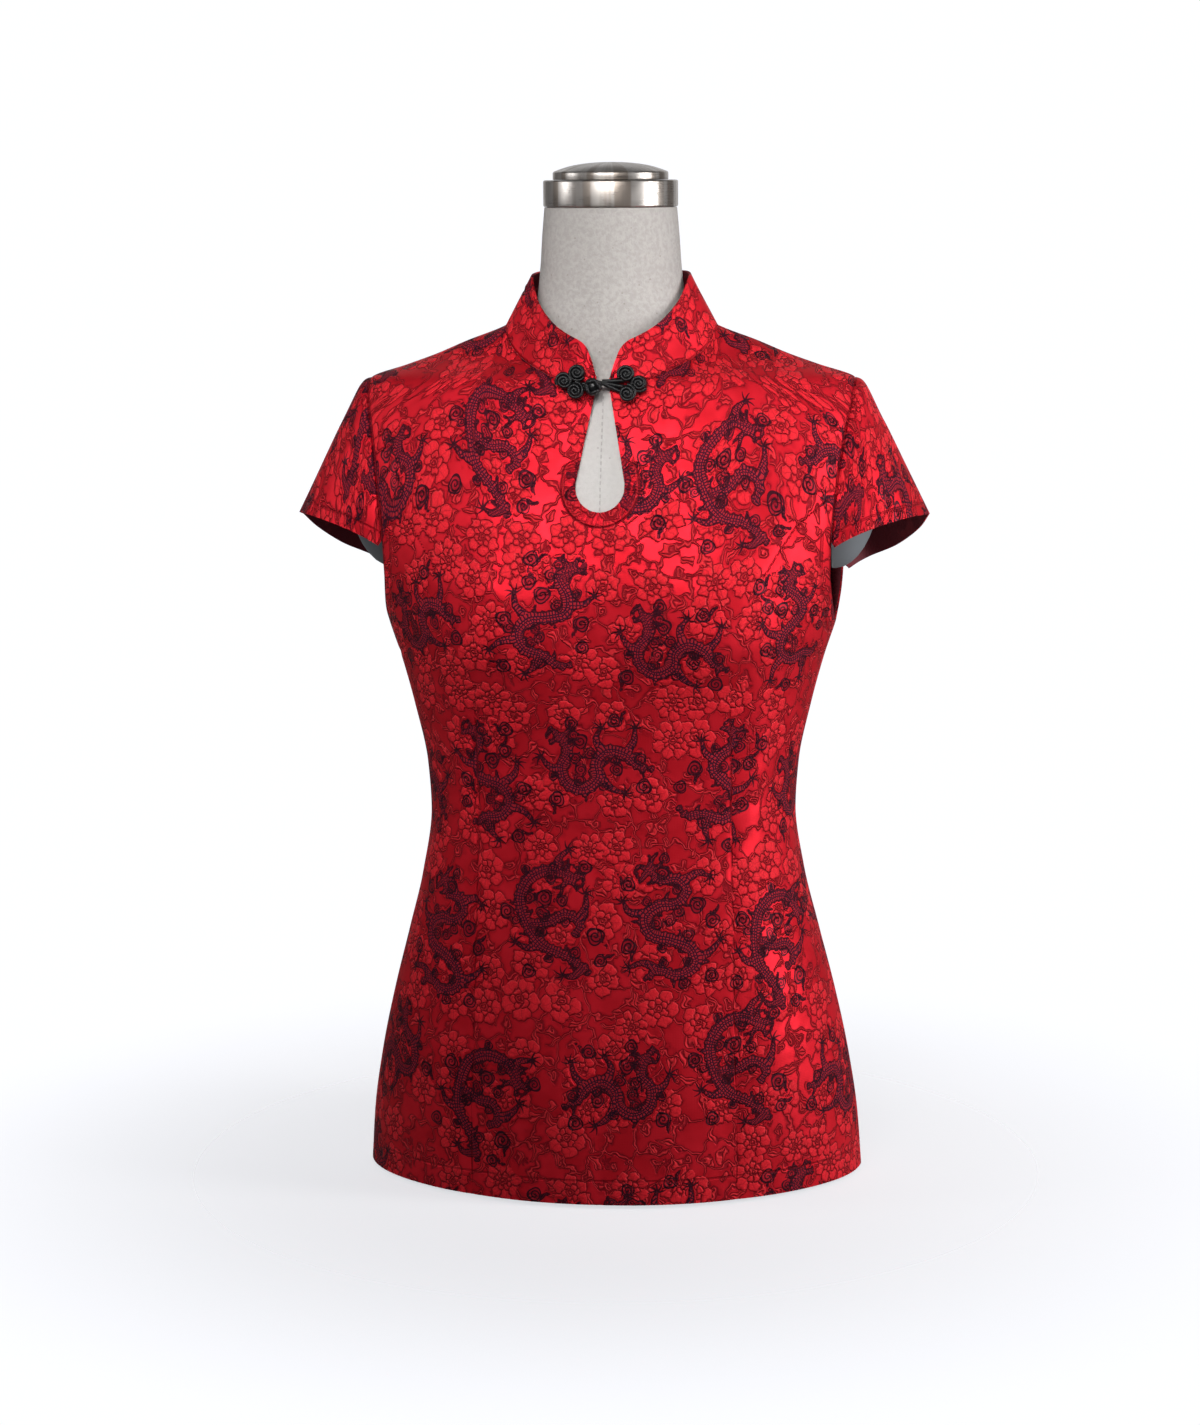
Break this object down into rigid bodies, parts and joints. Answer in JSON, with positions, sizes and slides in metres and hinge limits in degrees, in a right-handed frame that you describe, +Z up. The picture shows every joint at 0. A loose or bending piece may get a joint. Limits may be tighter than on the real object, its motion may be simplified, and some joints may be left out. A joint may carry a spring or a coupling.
{
  "type": "cheongsam top on a dress form",
  "caption": "Red brocade cheongsam top with a mandarin collar, keyhole, black flower frog and cap sleeves, worn by a limbless dress form",
  "frame": {"origin": "the middle of the dress form's flat underside, on the surface it stands on", "axes": "+Z up, the wearer faces -Y, +X is the wearer's left"},
  "size_m": [0.4768, 0.2506, 0.7662],
  "materials": {
    "brocade": "satin",
    "cord": "matte",
    "linen": "matte",
    "steel": "brushed",
    "plate": "satin"
  },
  "bodies": {
    "root": {"front": "brocade", "back": "brocade", "sleeve_left": "brocade", "sleeve_right": "brocade", "collar": "brocade", "frog_flower_right": "cord", "frog_flower_left": "cord", "frog_button": "cord", "frog_loop": "cord", "form_torso": "linen", "neck_cap_ring": "steel", "neck_cap_top": "steel", "arm_plate_left": "plate", "arm_plate_right": "plate"}
  },
  "joints": []
}
